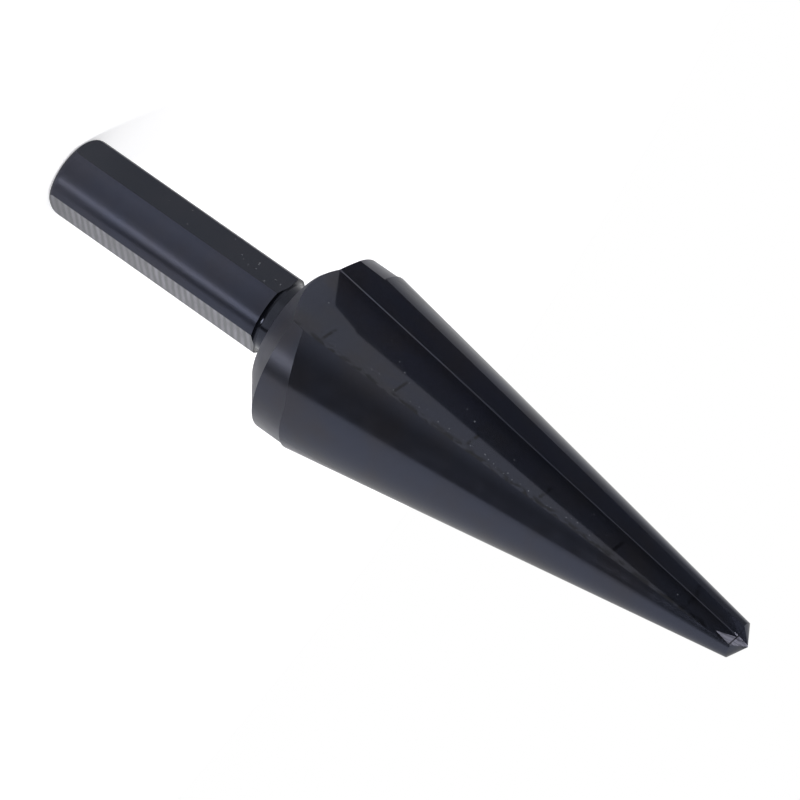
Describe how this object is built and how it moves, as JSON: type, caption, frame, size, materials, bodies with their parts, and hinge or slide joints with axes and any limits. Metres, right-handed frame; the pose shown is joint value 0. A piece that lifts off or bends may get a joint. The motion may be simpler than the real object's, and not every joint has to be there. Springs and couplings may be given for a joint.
{
  "type": "cone drill",
  "caption": "Conical sheet-metal drill in glossy black steel, with a straight V flute, a ground point, a short land and a round shank with flats.",
  "frame": {"origin": "middle of the flat end of the shank, on which the tool stands", "axes": "+Z along the tool's axis, from the shank up to the tip; the mouth of the flute faces -Y"},
  "size_m": [0.0139, 0.0131, 0.058],
  "materials": {
    "tool_steel": "ground high-speed steel, blackened to a glossy blue-black oxide"
  },
  "bodies": {
    "root": {"cone_drill": "tool_steel"}
  },
  "joints": []
}
